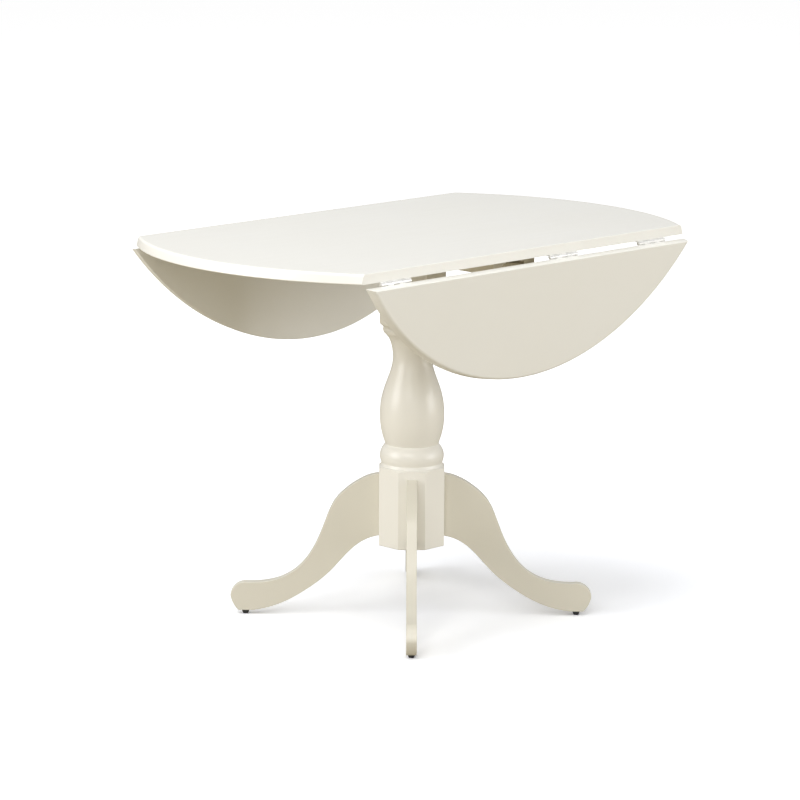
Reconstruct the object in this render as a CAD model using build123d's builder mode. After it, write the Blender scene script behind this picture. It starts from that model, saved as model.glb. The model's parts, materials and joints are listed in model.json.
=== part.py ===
"""Round drop leaf table on a turned pedestal with four S-shaped legs.

Frame: the origin is on the floor under the middle of the top, +Z is up, +Y runs along the
hinge lines and +X runs across the leaves. The table stands at rest with both leaves hanging.
The whole table repeats when it is turned by 180 degrees about Z. Millimetres and degrees.
"""

import os
from math import cos, radians, sin

from build123d import *

# --- Top ---------------------------------------------------------------------------------
top_radius = 533.4          # 42 inch round top
top_thickness = 19.0
table_height = 760.0
panel_half_width = 305.5    # middle of the top to the panel's straight edge
rim_inset = 9.0             # how far in from the rim the flat surface ends
rim_crest_radius = 6.0      # round between the top surface and the rim's face
rim_under_round = 2.0       # rounding of the rim into the underside
straight_edge_round = 1.5   # rounding along the edges at the hinge lines
underside = table_height - top_thickness

# --- Leaves and hinges ---------------------------------------------------------------------
pin_line_x = 308.0          # the hinge lines are this far from the middle
pin_drop = 4.0              # pin's centre below the underside
leaf_edge_gap = 2.5         # pin line to the leaf's straight edge
leaf_tilt = 8.3             # a free leaf hangs this far past plumb, inward
hinge_places = (-355.0, 91.0, 341.0)   # along the right-hand hinge line
hinge_length = 76.0
knuckle_count = 5           # odd ones belong to the panel's plate
knuckle_gap = 0.3
barrel_radius = 3.6
pin_radius = 1.5
pin_running_clearance = 0.05
pin_fixed_clearance = 0.01
pin_head_radius = 2.6
pin_head_length = 1.2
plate_thickness = 1.6
plate_reach = 32.0          # pin line to the plate's far edge
plate_setback = 3.0         # edge of a plate beside the other plate's knuckle
hinge_screw_offsets = ((-27.0, 14.0), (0.0, 25.0), (27.0, 14.0))   # along, across the plate
pin_line_z = underside - pin_drop

# --- Countersunk wood screws -----------------------------------------------------------------
hinge_screw_radius = 1.75
hinge_screw_head_radius = 3.4
hinge_screw_head_height = 1.5
hinge_screw_length = 14.0
frame_screw_radius = 2.4
frame_screw_head_radius = 4.6
frame_screw_head_height = 2.6
slot_width = 0.8            # cross slot in each screw head
slot_depth = 0.6

# --- Battens and slide supports ---------------------------------------------------------------
batten_half_length = 265.0
batten_width = 36.0
batten_depth = 31.0
channel_half_width = 21.0
batten_end_round = 3.0
groove_height = 6.0
groove_depth = 8.0
groove_middle = underside - 15.0
batten_screw_places = (-215.0, -105.0, 105.0, 215.0)
batten_screw_recess = 12.0
batten_screw_length = 30.0
slide_tip = 225.0           # outer end of a slide when it is in
slide_tail = 14.0
slide_height = 23.0
slide_clearance = 0.5       # beside and above the slide
tongue_clearance = 0.3
stop_radius = 4.0
stop_rise = 6.0             # how far the stop dowel stands above the slide
stop_seat = 14.0            # depth of the dowel in the slide
stop_inset = 12.0           # slide's inner end to the dowel
full_slide_travel = 150.0
stop_slot_clearance = 0.5
stop_slot_depth = 7.5

# --- Mounting plate -----------------------------------------------------------------------------
mount_plate_size = (170.0, 112.0)
mount_plate_thickness = 4.0
mount_plate_corner = 12.0
plate_batten_screws = (72.0, 39.0)     # half spacing along X and Y
plate_batten_screw_length = 24.0
plate_column_screw_circle = 40.0
plate_column_screw_length = 45.0
batten_bottom = underside - batten_depth
column_top = batten_bottom - mount_plate_thickness

# --- Pedestal column ----------------------------------------------------------------------------
block_apothem = 63.5        # 127 mm across the flats of the octagon
foot_block_bottom = 143.0
turning_blank = 74.0        # radius of the blank outside the octagon's corners
foot_shoulder = (293.0, 300.5)         # heights where the turned shoulder starts and ends
foot_shoulder_radius = 61.0
bead_bottom = (59.5, 306.0)            # radius and height
bead_crest = (62.4, 319.0)
bead_top = (51.6, 342.5)
vase_points = (
    (59.2, 366.0),
    (62.7, 395.0),
    (58.9, 437.0),
    (48.8, 469.0),
    (39.6, 498.0),
    (38.0, 514.0),
    (42.0, 540.5),
    (47.2, 552.5),
)
cove_top = (53.4, 560.0)
collar_bottom = (55.0, 561.0)
collar_crest = (57.4, 567.5)
collar_top = (56.0, 573.0)
head_shoulder_start = (57.4, 573.8)
head_shoulder_end_height = 590.0
pocket_half_width = 32.0    # square pocket under the foot block, faces towards the legs
pocket_top = 275.0

# --- Legs and glides ----------------------------------------------------------------------------
leg_thickness = 20.0
leg_edge_round = 1.0
leg_root_top = (block_apothem, 283.0)  # distance from the column's axis, and height
leg_back_points = ((117.0, 260.0), (150.0, 227.5), (168.5, 186.5), (187.3, 140.6), (220.9, 94.2))
leg_instep = (262.0, 70.9)
toe_start = (318.0, 64.0)
toe_corner = (345.0, 55.5)
toe_front = (353.5, 38.0)
toe_under = (348.2, 22.0)
sole_front = (338.0, 8.0)
sole_back = (309.0, 8.0)
leg_belly_points = ((257.0, 21.5), (203.0, 51.3), (158.0, 87.7), (122.0, 127.0), (94.0, 149.0))
leg_root_bottom = (block_apothem, 159.5)
leg_angles = {"front": -45.0, "right": 45.0, "back": 135.0, "left": 225.0}
glide_place = 324.0         # column's axis to a glide
glide_height = 8.0
glide_top_radius = 8.0
glide_foot_radius = 5.4
nail_radius = 1.4
nail_bottom = 3.0
nail_top = 24.0

# --- Leg bolts ----------------------------------------------------------------------------------
bolt_heights = (190.0, 247.0)
bolt_radius = 4.0
bolt_hole_radius = 4.5
bolt_reach_in_leg = 32.0
bolt_tail = 12.0            # stands into the pocket
washer_radius = 10.0
washer_thickness = 1.6
nut_across_flats = 13.0
nut_height = 6.5


def save(part, name):
    """Label a finished piece and write it."""
    part.label = name
    export_step(part, f"parts/{name}.step")


def hinge_line(side):
    """Plane on a hinge line: x points out across the raised leaf, y along the line, z up.

    side is +1 for the right-hand line and -1 for the left-hand one, which is the same turned by
    180 degrees about Z.
    """
    return Plane(origin=(side * pin_line_x, 0, pin_line_z), x_dir=(side, 0, 0), z_dir=(0, 0, 1))


def hang(part, side):
    """Turn what was made for a raised leaf to the place where the leaf hangs free."""
    plane = hinge_line(side)
    return part.rotate(Axis(plane.origin, plane.y_dir), 90.0 + leaf_tilt)


def round_points(centre, radius, start, end, steps):
    """Points on an arc about centre, from angle start to angle end, both ends included."""
    points = []
    for step in range(steps + 1):
        angle = radians(start + (end - start) * step / steps)
        points.append((centre[0] + radius * cos(angle), centre[1] + radius * sin(angle)))
    return points


def rim_outline(middle):
    """Half section of the round top on the plane's x and y, with its axis at x = middle.

    The rim falls from a rounded crest down a face that leans out a little, to a small round
    above the underside. Its rounds are made of short flats, so that the revolved rim is made
    of cones and can be cut cleanly at the hinge lines.
    """
    rim = middle + top_radius
    low = pin_drop
    high = pin_drop + top_thickness
    crest_middle = (rim - rim_inset, high - rim_crest_radius)
    under_middle = (rim - rim_under_round, low + rim_under_round)
    crest = round_points(crest_middle, rim_crest_radius, 90, 8, 5)
    under = round_points(under_middle, rim_under_round, 0, -90, 3)
    with BuildLine() as outline:
        Polyline((middle, low), (middle, high), *crest, *under, (middle, low))
    return outline


def strip_outline(edge, far):
    """Section of what is kept beyond a straight cut at x = edge, with its upper corner eased."""
    high = pin_drop + top_thickness
    inner = edge + straight_edge_round
    Polyline((edge, high - straight_edge_round), (edge, 0), (far, 0), (far, 2 * high), (inner, 2 * high))
    Line((inner, 2 * high), (inner, high))
    RadiusArc((inner, high), (edge, high - straight_edge_round), -straight_edge_round)


def screw(plane, spot, radius, head_radius, head_height, length):
    """Cross-slotted countersunk screw: its head is flush with the plane, its point goes along z."""
    here = plane.shift_origin(plane.from_local_coords(spot))
    section = Plane(origin=here.origin, x_dir=here.x_dir, z_dir=-here.y_dir)
    point_length = 2 * radius
    with BuildPart(mode=Mode.PRIVATE) as made:
        with BuildSketch(section):
            Polygon(
                (0, 0),
                (head_radius, 0),
                (radius, head_height),
                (radius, length - point_length),
                (0, length),
                align=None,
            )
        revolve(axis=Axis(here.origin, here.z_dir))
        with BuildSketch(here):
            Rectangle(slot_width, 1.1 * head_radius)
            Rectangle(1.1 * head_radius, slot_width)
        extrude(amount=slot_depth, mode=Mode.SUBTRACT)
    return made.part


def screw_hole(plane, spot, radius, head_radius, head_height, depth):
    """Countersunk hole that a screw fills, as a solid to take away."""
    here = plane.shift_origin(plane.from_local_coords(spot))
    section = Plane(origin=here.origin, x_dir=here.x_dir, z_dir=-here.y_dir)
    with BuildPart(mode=Mode.PRIVATE) as made:
        with BuildSketch(section):
            Polygon(
                (0, 0),
                (head_radius, 0),
                (radius, head_height),
                (radius, depth),
                (0, depth),
                align=None,
            )
        revolve(axis=Axis(here.origin, here.z_dir))
    return made.part


def hinge_screw_spots(places):
    """Where the screws stand along and across the hinges at the given places."""
    return [(across, place + along) for place in places for along, across in hinge_screw_offsets]


def hinge_screw_set(plane, direction, places):
    """All the hinge screws of one leaf or of one side of the panel."""
    plate_face = plane.offset(pin_drop - plate_thickness)
    screws = []
    for across, along in hinge_screw_spots(places):
        screws.append(
            screw(
                plate_face,
                (direction * across, along, 0),
                hinge_screw_radius,
                hinge_screw_head_radius,
                hinge_screw_head_height,
                hinge_screw_length,
            )
        )
    return screws


def hinge_pilot_set(plane, direction, places):
    """Pilot holes for those screws in the wood."""
    plate_face = plane.offset(pin_drop - plate_thickness)
    holes = []
    for across, along in hinge_screw_spots(places):
        holes.append(
            screw_hole(
                plate_face,
                (direction * across, along, 0),
                hinge_screw_radius,
                hinge_screw_head_radius,
                hinge_screw_head_height,
                hinge_screw_length,
            )
        )
    return holes


def hinge_plate(plane, place, direction, odd_knuckles, clearance):
    """Hinge plate with its knuckles. direction -1 lies under the panel, +1 under the leaf."""
    pitch = hinge_length / knuckle_count
    low = pin_drop - plate_thickness
    with BuildPart() as made:
        with BuildSketch(plane.offset(low)):
            with Locations((direction * plate_reach / 2, place)):
                Rectangle(plate_reach, hinge_length)
            for index in range(knuckle_count):
                middle = place - hinge_length / 2 + (index + 0.5) * pitch
                is_own = (index % 2 == 0) == odd_knuckles
                if not is_own:
                    with Locations((direction * plate_setback / 2, middle)):
                        Rectangle(plate_setback, pitch + knuckle_gap, mode=Mode.SUBTRACT)
        extrude(amount=plate_thickness)
        far_corners = made.edges().filter_by(Axis(plane.origin, plane.z_dir))
        fillet(far_corners.sort_by(Axis(plane.origin, direction * plane.x_dir))[-2:], 5.0)
        for index in range(knuckle_count):
            is_own = (index % 2 == 0) == odd_knuckles
            if is_own:
                start = place - hinge_length / 2 + index * pitch + knuckle_gap / 2
                length = pitch - knuckle_gap
                spot = plane.from_local_coords((0, start, 0))
                with BuildSketch(Plane(origin=spot, x_dir=plane.x_dir, z_dir=plane.y_dir)):
                    Circle(barrel_radius)
                extrude(amount=length)
        bore_start = plane.from_local_coords((0, place - hinge_length / 2 - 1, 0))
        with BuildSketch(Plane(origin=bore_start, x_dir=plane.x_dir, z_dir=plane.y_dir)):
            Circle(pin_radius + clearance)
        extrude(amount=hinge_length + 2, mode=Mode.SUBTRACT)
        plate_face = plane.offset(low)
        for across, along in hinge_screw_spots((place,)):
            hole = screw_hole(
                plate_face,
                (direction * across, along, 0),
                hinge_screw_radius,
                hinge_screw_head_radius,
                hinge_screw_head_height,
                plate_thickness + 1,
            )
            add(hole, mode=Mode.SUBTRACT)
    return made.part


def hinge_pin(plane, place):
    """Hinge pin with a small domed head at each end."""
    start = plane.from_local_coords((0, place - hinge_length / 2, 0))
    end = plane.from_local_coords((0, place + hinge_length / 2, 0))
    with BuildPart() as made:
        with BuildSketch(Plane(origin=start, x_dir=plane.x_dir, z_dir=plane.y_dir)):
            Circle(pin_radius)
        extrude(amount=hinge_length)
        with BuildSketch(Plane(origin=end, x_dir=plane.x_dir, z_dir=plane.y_dir)):
            Circle(pin_head_radius)
        extrude(amount=pin_head_length)
        with BuildSketch(Plane(origin=start, x_dir=plane.x_dir, z_dir=-plane.y_dir)):
            Circle(pin_head_radius)
        extrude(amount=pin_head_length)
        fillet(made.edges().filter_by(GeomType.CIRCLE).group_by(Axis.Y)[0], 0.6)
        fillet(made.edges().filter_by(GeomType.CIRCLE).group_by(Axis.Y)[-1], 0.6)
    return made.part


def stop_slot_span():
    """Middle and length of the slot that a slide's stop dowel runs in."""
    first = slide_tail + stop_inset
    last = first + full_slide_travel
    length = last - first + 2 * (stop_radius + stop_slot_clearance)
    return (first + last) / 2, length


def frame_screw_set(part_plane, spots, length):
    """Countersunk screws for the battens and the mounting plate."""
    return [
        screw(
            part_plane,
            spot,
            frame_screw_radius,
            frame_screw_head_radius,
            frame_screw_head_height,
            length,
        )
        for spot in spots
    ]


def frame_hole_set(part_plane, spots, depth):
    """Holes for those screws."""
    return [
        screw_hole(
            part_plane,
            spot,
            frame_screw_radius,
            frame_screw_head_radius,
            frame_screw_head_height,
            depth,
        )
        for spot in spots
    ]


os.makedirs("parts", exist_ok=True)

batten_middle = channel_half_width + batten_width / 2
batten_screw_face = Plane.XY.offset(batten_bottom + batten_screw_recess)
batten_screw_spots = [(x, y, 0) for x in batten_screw_places for y in (-batten_middle, batten_middle)]
plate_under_face = Plane.XY.offset(column_top)
plate_batten_spots = [
    (sx * plate_batten_screws[0], sy * plate_batten_screws[1], 0) for sx in (-1, 1) for sy in (-1, 1)
]
plate_top_face = Plane(origin=(0, 0, batten_bottom), x_dir=(1, 0, 0), z_dir=(0, 0, -1))
plate_column_spots = [
    (plate_column_screw_circle * cos(radians(a)), plate_column_screw_circle * sin(radians(a)), 0)
    for a in (0, 90, 180, 270)
]

# --- Centre panel: the round top cut along the two hinge lines -------------------------------------
panel_section = Plane(origin=(0, 0, pin_line_z), x_dir=(1, 0, 0), z_dir=(0, -1, 0))
with BuildPart() as center_panel:
    with BuildSketch(panel_section):
        with BuildLine():
            add(rim_outline(0).line)
        make_face()
    revolve(axis=Axis.Z)
    with BuildSketch(panel_section) as panel_strip:
        with Locations((0, pin_drop + top_thickness)):
            Rectangle(2 * panel_half_width, 2 * top_thickness, align=(Align.CENTER, Align.MAX))
        fillet(panel_strip.vertices().group_by(Axis.Y)[-1], straight_edge_round)
    extrude(amount=2 * top_radius, both=True, mode=Mode.INTERSECT)
    slot_middle, slot_length = stop_slot_span()
    with BuildSketch(Plane.XY.offset(underside)):
        with Locations((slot_middle, 0), (-slot_middle, 0)):
            SlotOverall(slot_length, 2 * (stop_radius + stop_slot_clearance))
    extrude(amount=stop_slot_depth, mode=Mode.SUBTRACT)
    for side in (1, -1):
        for hole in hinge_pilot_set(hinge_line(side), -1, hinge_places):
            add(hole, mode=Mode.SUBTRACT)
    for hole in frame_hole_set(batten_screw_face, batten_screw_spots, batten_screw_length):
        add(hole, mode=Mode.SUBTRACT)
save(center_panel.part, "center_panel")


# --- Leaves: the two segments beyond the hinge lines -------------------------------------------------
def make_leaf(side, name):
    """A leaf with pilot holes for its hinge screws, made raised and then hung."""
    plane = hinge_line(side)
    section = Plane(origin=plane.origin, x_dir=plane.x_dir, z_dir=-plane.y_dir)
    far_section = Plane(origin=plane.origin, x_dir=-plane.x_dir, z_dir=plane.y_dir)
    with BuildPart() as made:
        with BuildSketch(far_section):
            with BuildLine():
                add(rim_outline(pin_line_x).line)
            make_face()
        revolve(axis=Axis.Z)
        with BuildSketch(section):
            with BuildLine():
                strip_outline(leaf_edge_gap, leaf_edge_gap + top_radius)
            make_face()
        extrude(amount=2 * top_radius, both=True, mode=Mode.INTERSECT)
        for hole in hinge_pilot_set(plane, 1, hinge_places):
            add(hole, mode=Mode.SUBTRACT)
    save(hang(made.part, side), name)


make_leaf(1, "leaf_right")
make_leaf(-1, "leaf_left")


# --- Hinges --------------------------------------------------------------------------------------------
for side, side_name in ((1, "right"), (-1, "left")):
    for number, place in enumerate(hinge_places, start=1):
        panel_plate = hinge_plate(hinge_line(side), place, -1, True, pin_fixed_clearance)
        save(panel_plate, f"{side_name}_hinge_{number}_panel_plate")
        leaf_plate = hinge_plate(hinge_line(side), place, 1, False, pin_running_clearance)
        save(hang(leaf_plate, side), f"{side_name}_hinge_{number}_leaf_plate")
        save(hinge_pin(hinge_line(side), place), f"{side_name}_hinge_{number}_pin")
    with BuildPart() as leaf_screws:
        add(hinge_screw_set(hinge_line(side), 1, hinge_places))
    save(hang(leaf_screws.part, side), f"{side_name}_leaf_hinge_screws")

with BuildPart() as panel_hinge_screws:
    for side in (1, -1):
        add(hinge_screw_set(hinge_line(side), -1, hinge_places))
save(panel_hinge_screws.part, "panel_hinge_screws")


# --- Battens: two rails with a groove on the inner side ----------------------------------------------------
def make_batten(side, name):
    """Batten on the +Y (side 1) or -Y (side -1) side of the slide channel."""
    with BuildPart() as made:
        with BuildSketch(Plane.XY.offset(batten_bottom)):
            with Locations((0, side * batten_middle)):
                Rectangle(2 * batten_half_length, batten_width)
        extrude(amount=batten_depth)
        low_ends = made.edges().filter_by(Axis.Y).group_by(Axis.Z)[0]
        fillet(low_ends, batten_end_round)
        with BuildSketch(Plane.XY.offset(groove_middle - groove_height / 2)):
            with Locations((0, side * (channel_half_width + groove_depth / 2))):
                Rectangle(2 * batten_half_length, groove_depth)
        extrude(amount=groove_height, mode=Mode.SUBTRACT)
        own_spots = [spot for spot in batten_screw_spots if spot[1] * side > 0]
        for hole in frame_hole_set(batten_screw_face, own_spots, batten_depth):
            add(hole, mode=Mode.SUBTRACT)
        with BuildSketch(Plane.XY.offset(batten_bottom)):
            with Locations([spot[:2] for spot in own_spots]):
                Circle(frame_screw_head_radius + 0.4)
        extrude(amount=batten_screw_recess, mode=Mode.SUBTRACT)
        for hole in frame_hole_set(plate_under_face, plate_batten_spots, plate_batten_screw_length):
            add(hole, mode=Mode.SUBTRACT)
    save(made.part, name)


make_batten(-1, "front_batten")
make_batten(1, "back_batten")

with BuildPart() as batten_screws:
    add(frame_screw_set(batten_screw_face, batten_screw_spots, batten_screw_length))
save(batten_screws.part, "batten_screws")


# --- Slide supports -------------------------------------------------------------------------------------------
def make_slide(side, name):
    """Slide support that comes out on the +X (side 1) or -X (side -1) side, with its stop dowel."""
    length = slide_tip - slide_tail
    middle = side * (slide_tip + slide_tail) / 2
    slide_top = underside - slide_clearance
    stop_x = side * (slide_tail + stop_inset)
    tongue_width = 2 * (channel_half_width + groove_depth - slide_clearance)
    with BuildPart() as slide:
        with BuildSketch(Plane.XY.offset(slide_top - slide_height)):
            with Locations((middle, 0)):
                Rectangle(length, 2 * (channel_half_width - slide_clearance))
        extrude(amount=slide_height)
        tip_edges = slide.edges().filter_by(Axis.Y).group_by(Axis.X)[-1 if side > 0 else 0]
        fillet(tip_edges, batten_end_round)
        tongue_height = groove_height - 2 * tongue_clearance
        with BuildSketch(Plane.XY.offset(groove_middle - tongue_height / 2)):
            with Locations((middle - side * batten_end_round, 0)):
                Rectangle(length - 2 * batten_end_round, tongue_width)
        extrude(amount=tongue_height)
        with BuildSketch(Plane.XY.offset(slide_top - stop_seat)):
            with Locations((stop_x, 0)):
                Circle(stop_radius)
        extrude(amount=stop_seat, mode=Mode.SUBTRACT)
    save(slide.part, name)
    with BuildPart() as stop:
        with BuildSketch(Plane.XY.offset(slide_top - stop_seat)):
            with Locations((stop_x, 0)):
                Circle(stop_radius)
        extrude(amount=stop_seat + stop_rise)
        chamfer(stop.edges().group_by(Axis.Z)[-1], 0.8)
    save(stop.part, f"{name}_stop")


make_slide(1, "right_slide")
make_slide(-1, "left_slide")

# --- Mounting plate --------------------------------------------------------------------------------------------
with BuildPart() as mount_plate:
    with BuildSketch(Plane.XY.offset(column_top)):
        RectangleRounded(*mount_plate_size, mount_plate_corner)
    extrude(amount=mount_plate_thickness)
    for hole in frame_hole_set(plate_under_face, plate_batten_spots, mount_plate_thickness + 1):
        add(hole, mode=Mode.SUBTRACT)
    for hole in frame_hole_set(plate_top_face, plate_column_spots, mount_plate_thickness + 1):
        add(hole, mode=Mode.SUBTRACT)
save(mount_plate.part, "mount_plate")

with BuildPart() as plate_to_batten_screws:
    add(frame_screw_set(plate_under_face, plate_batten_spots, plate_batten_screw_length))
save(plate_to_batten_screws.part, "plate_to_batten_screws")

with BuildPart() as plate_to_column_screws:
    add(frame_screw_set(plate_top_face, plate_column_spots, plate_column_screw_length))
save(plate_to_column_screws.part, "plate_to_column_screws")


# --- Pedestal column: a turned blank with its octagonal blocks left at both ends -----------------------------------
def leg_plane(angle):
    """Upright plane through the column's axis: x points out along the leg, y up."""
    out = Vector(cos(radians(angle)), sin(radians(angle)), 0)
    return Plane(origin=(0, 0, 0), x_dir=out, z_dir=out.cross(Vector(0, 0, 1)))


with BuildPart() as pedestal_column:
    with BuildSketch(Plane.XZ):
        with BuildLine():
            Polyline(
                (0, foot_block_bottom),
                (turning_blank, foot_block_bottom),
                (turning_blank, foot_shoulder[0]),
                (foot_shoulder_radius, foot_shoulder[1]),
                bead_bottom,
            )
            ThreePointArc(bead_bottom, bead_crest, bead_top)
            Spline(bead_top, *vase_points, cove_top)
            Line(cove_top, collar_bottom)
            ThreePointArc(collar_bottom, collar_crest, collar_top)
            Polyline(
                collar_top,
                head_shoulder_start,
                (turning_blank, head_shoulder_end_height),
                (turning_blank, column_top),
                (0, column_top),
                (0, foot_block_bottom),
            )
        make_face()
    revolve(axis=Axis.Z)
    with BuildSketch(Plane.XY.offset(foot_block_bottom - 1)):
        RegularPolygon(block_apothem, 8, major_radius=False, rotation=22.5)
    extrude(amount=column_top - foot_block_bottom + 2, mode=Mode.INTERSECT)
    chamfer(pedestal_column.faces().sort_by(Axis.Z)[0].edges(), 1.5)
    with BuildSketch(Plane.XY.offset(foot_block_bottom)):
        Rectangle(2 * pocket_half_width, 2 * pocket_half_width, rotation=45)
    extrude(amount=pocket_top - foot_block_bottom, mode=Mode.SUBTRACT)
    for angle in leg_angles.values():
        out = leg_plane(angle).x_dir
        across = Vector(-out.Y, out.X, 0)
        with BuildSketch(Plane(origin=(0, 0, 0), x_dir=across, z_dir=out)):
            with Locations(*[(0, height) for height in bolt_heights]):
                Circle(bolt_hole_radius)
        extrude(amount=turning_blank, mode=Mode.SUBTRACT)
    for hole in frame_hole_set(plate_top_face, plate_column_spots, plate_column_screw_length):
        add(hole, mode=Mode.SUBTRACT)
save(pedestal_column.part, "pedestal_column")


# --- Legs, glides and nails ----------------------------------------------------------------------------------------
def make_leg(angle, name):
    """Flat S-shaped leg with two bolt holes in its root and a nail hole in its sole."""
    plane = leg_plane(angle)
    with BuildPart() as made:
        with BuildSketch(plane):
            with BuildLine():
                Spline(leg_root_top, *leg_back_points, leg_instep, toe_start, tangents=((1, -0.12), (1, 0)))
                ThreePointArc(toe_start, toe_corner, toe_front)
                ThreePointArc(toe_front, toe_under, sole_front)
                Line(sole_front, sole_back)
                Spline(sole_back, *leg_belly_points, leg_root_bottom)
                Line(leg_root_bottom, leg_root_top)
            make_face()
        extrude(amount=leg_thickness / 2, both=True)
        outline_edges = made.faces().filter_by(Axis(plane.origin, plane.z_dir)).edges()
        root_free = outline_edges.filter_by(
            lambda edge: plane.to_local_coords(edge.center()).X > block_apothem + 1
        )
        fillet(root_free, leg_edge_round)
        across = Vector(-plane.x_dir.Y, plane.x_dir.X, 0)
        root = plane.x_dir * block_apothem
        with BuildSketch(Plane(origin=root, x_dir=across, z_dir=plane.x_dir)):
            with Locations(*[(0, height) for height in bolt_heights]):
                Circle(bolt_radius)
        extrude(amount=bolt_reach_in_leg, mode=Mode.SUBTRACT)
        nail_spot = plane.x_dir * glide_place
        with BuildSketch(Plane(origin=(nail_spot.X, nail_spot.Y, 0))):
            Circle(nail_radius)
        extrude(amount=nail_top, mode=Mode.SUBTRACT)
    save(made.part, name)


def make_glide(angle, name):
    """Tapered glide under a leg, with a blind hole for its nail."""
    spot = leg_plane(angle).x_dir * glide_place
    with BuildPart() as made:
        with BuildSketch(Plane(origin=(spot.X, spot.Y, 0))):
            Circle(glide_foot_radius)
        with BuildSketch(Plane(origin=(spot.X, spot.Y, glide_height))):
            Circle(glide_top_radius)
        loft()
        fillet(made.edges().group_by(Axis.Z)[0], 0.8)
        with BuildSketch(Plane(origin=(spot.X, spot.Y, nail_bottom))):
            Circle(nail_radius)
        extrude(amount=glide_height, mode=Mode.SUBTRACT)
    save(made.part, name)


for leg_name, angle in leg_angles.items():
    make_leg(angle, f"leg_{leg_name}")
    make_glide(angle, f"glide_{leg_name}")

with BuildPart() as glide_nails:
    for angle in leg_angles.values():
        spot = leg_plane(angle).x_dir * glide_place
        with BuildSketch(Plane(origin=(spot.X, spot.Y, nail_bottom))):
            Circle(nail_radius)
        extrude(amount=nail_top - nail_bottom)
save(glide_nails.part, "glide_nails")


# --- Leg bolts, washers and nuts ---------------------------------------------------------------------------------------
def bolt_planes(distance):
    """A plane at each leg bolt, facing out along it, at a distance from the column's axis."""
    planes = []
    for angle in leg_angles.values():
        out = leg_plane(angle).x_dir
        across = Vector(-out.Y, out.X, 0)
        for height in bolt_heights:
            start = out * distance + Vector(0, 0, height)
            planes.append(Plane(origin=start, x_dir=across, z_dir=out))
    return planes


bolt_inner_end = pocket_half_width - bolt_tail
with BuildPart() as leg_bolts:
    for plane in bolt_planes(bolt_inner_end):
        with BuildSketch(plane):
            Circle(bolt_radius)
        extrude(amount=block_apothem + bolt_reach_in_leg - bolt_inner_end)
save(leg_bolts.part, "leg_bolts")

with BuildPart() as leg_washers:
    for plane in bolt_planes(pocket_half_width - washer_thickness):
        with BuildSketch(plane):
            Circle(washer_radius)
            Circle(bolt_radius, mode=Mode.SUBTRACT)
        extrude(amount=washer_thickness)
save(leg_washers.part, "leg_washers")

with BuildPart() as leg_nuts:
    for plane in bolt_planes(pocket_half_width - washer_thickness - nut_height):
        with BuildSketch(plane):
            RegularPolygon(nut_across_flats / 2, 6, major_radius=False)
            Circle(bolt_radius, mode=Mode.SUBTRACT)
        extrude(amount=nut_height)
save(leg_nuts.part, "leg_nuts")
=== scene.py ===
import json
from math import cos, degrees, pi, radians, sin, sqrt

import bmesh
import bpy
import numpy as np
from mathutils import Matrix, Quaternion, Vector


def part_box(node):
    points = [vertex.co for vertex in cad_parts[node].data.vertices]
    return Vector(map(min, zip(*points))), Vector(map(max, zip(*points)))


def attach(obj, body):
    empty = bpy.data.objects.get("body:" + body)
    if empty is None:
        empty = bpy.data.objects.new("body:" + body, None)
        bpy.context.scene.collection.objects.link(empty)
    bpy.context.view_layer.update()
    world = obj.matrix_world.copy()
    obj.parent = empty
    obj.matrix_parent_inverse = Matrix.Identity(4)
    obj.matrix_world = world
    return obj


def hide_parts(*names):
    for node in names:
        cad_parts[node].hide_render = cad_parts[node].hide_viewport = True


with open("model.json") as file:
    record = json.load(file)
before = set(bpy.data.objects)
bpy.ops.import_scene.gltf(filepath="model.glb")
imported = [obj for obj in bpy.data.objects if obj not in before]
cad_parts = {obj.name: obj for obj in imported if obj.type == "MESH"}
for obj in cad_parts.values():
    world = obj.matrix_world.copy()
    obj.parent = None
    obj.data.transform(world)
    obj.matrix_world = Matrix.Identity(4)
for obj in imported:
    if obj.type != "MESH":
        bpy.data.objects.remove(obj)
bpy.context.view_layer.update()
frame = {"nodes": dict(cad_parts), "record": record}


# --- Sizes, in metres and degrees, worked out from the frame where it holds them ---------------
def joint_named(name):
    """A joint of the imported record."""
    return next(joint for joint in frame["record"]["behaviour"]["joints"] if joint["name"] == name)


panel_low, panel_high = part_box("center_panel")
column_low, column_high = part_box("pedestal_column")
glide_low, glide_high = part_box("glide_front")
RIGHT_HINGE = joint_named("leaf_right_hinge")
PIN_X, PIN_Z = RIGHT_HINGE["pos_m"][0], RIGHT_HINGE["pos_m"][2]
LEAF_TURN = RIGHT_HINGE["range_deg"][1]      # a raised leaf is turned this far from where it hangs
TOP_RADIUS = panel_high[1]
TOP_HEIGHT = panel_high[2]
UNDERSIDE = panel_low[2]
PANEL_HALF_WIDTH = panel_high[0]

RIM_INSET = 0.009            # how far in from the rim the flat surface ends
RIM_CREST_RADIUS = 0.006
RIM_CREST_END = 8.0          # angle at which the crest's round runs into the rim's face
RIM_CREST_STEPS = 10
RIM_UNDER_ROUND = 0.002
RIM_UNDER_STEPS = 6
RIM_STEPS = 288
LEAF_EDGE_GAP = 0.0025       # hinge line to the leaf's straight edge
STRAIGHT_EDGE_ROUND = 0.0015
STRAIGHT_EDGE_STEPS = 6
SOFT_EDGE = 0.0004           # the least rounding that paint leaves on an edge
SOFT_EDGE_SEGMENTS = 2
BOARD_SHARP_ANGLE = 50.0     # a board's edges sharper than this are rounded

STOP_SLOT_SPAN = (0.0215, 0.1805)
STOP_SLOT_HALF_WIDTH = 0.0045
STOP_SLOT_DEPTH = 0.0075
STOP_SLOT_END_STEPS = 12

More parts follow.
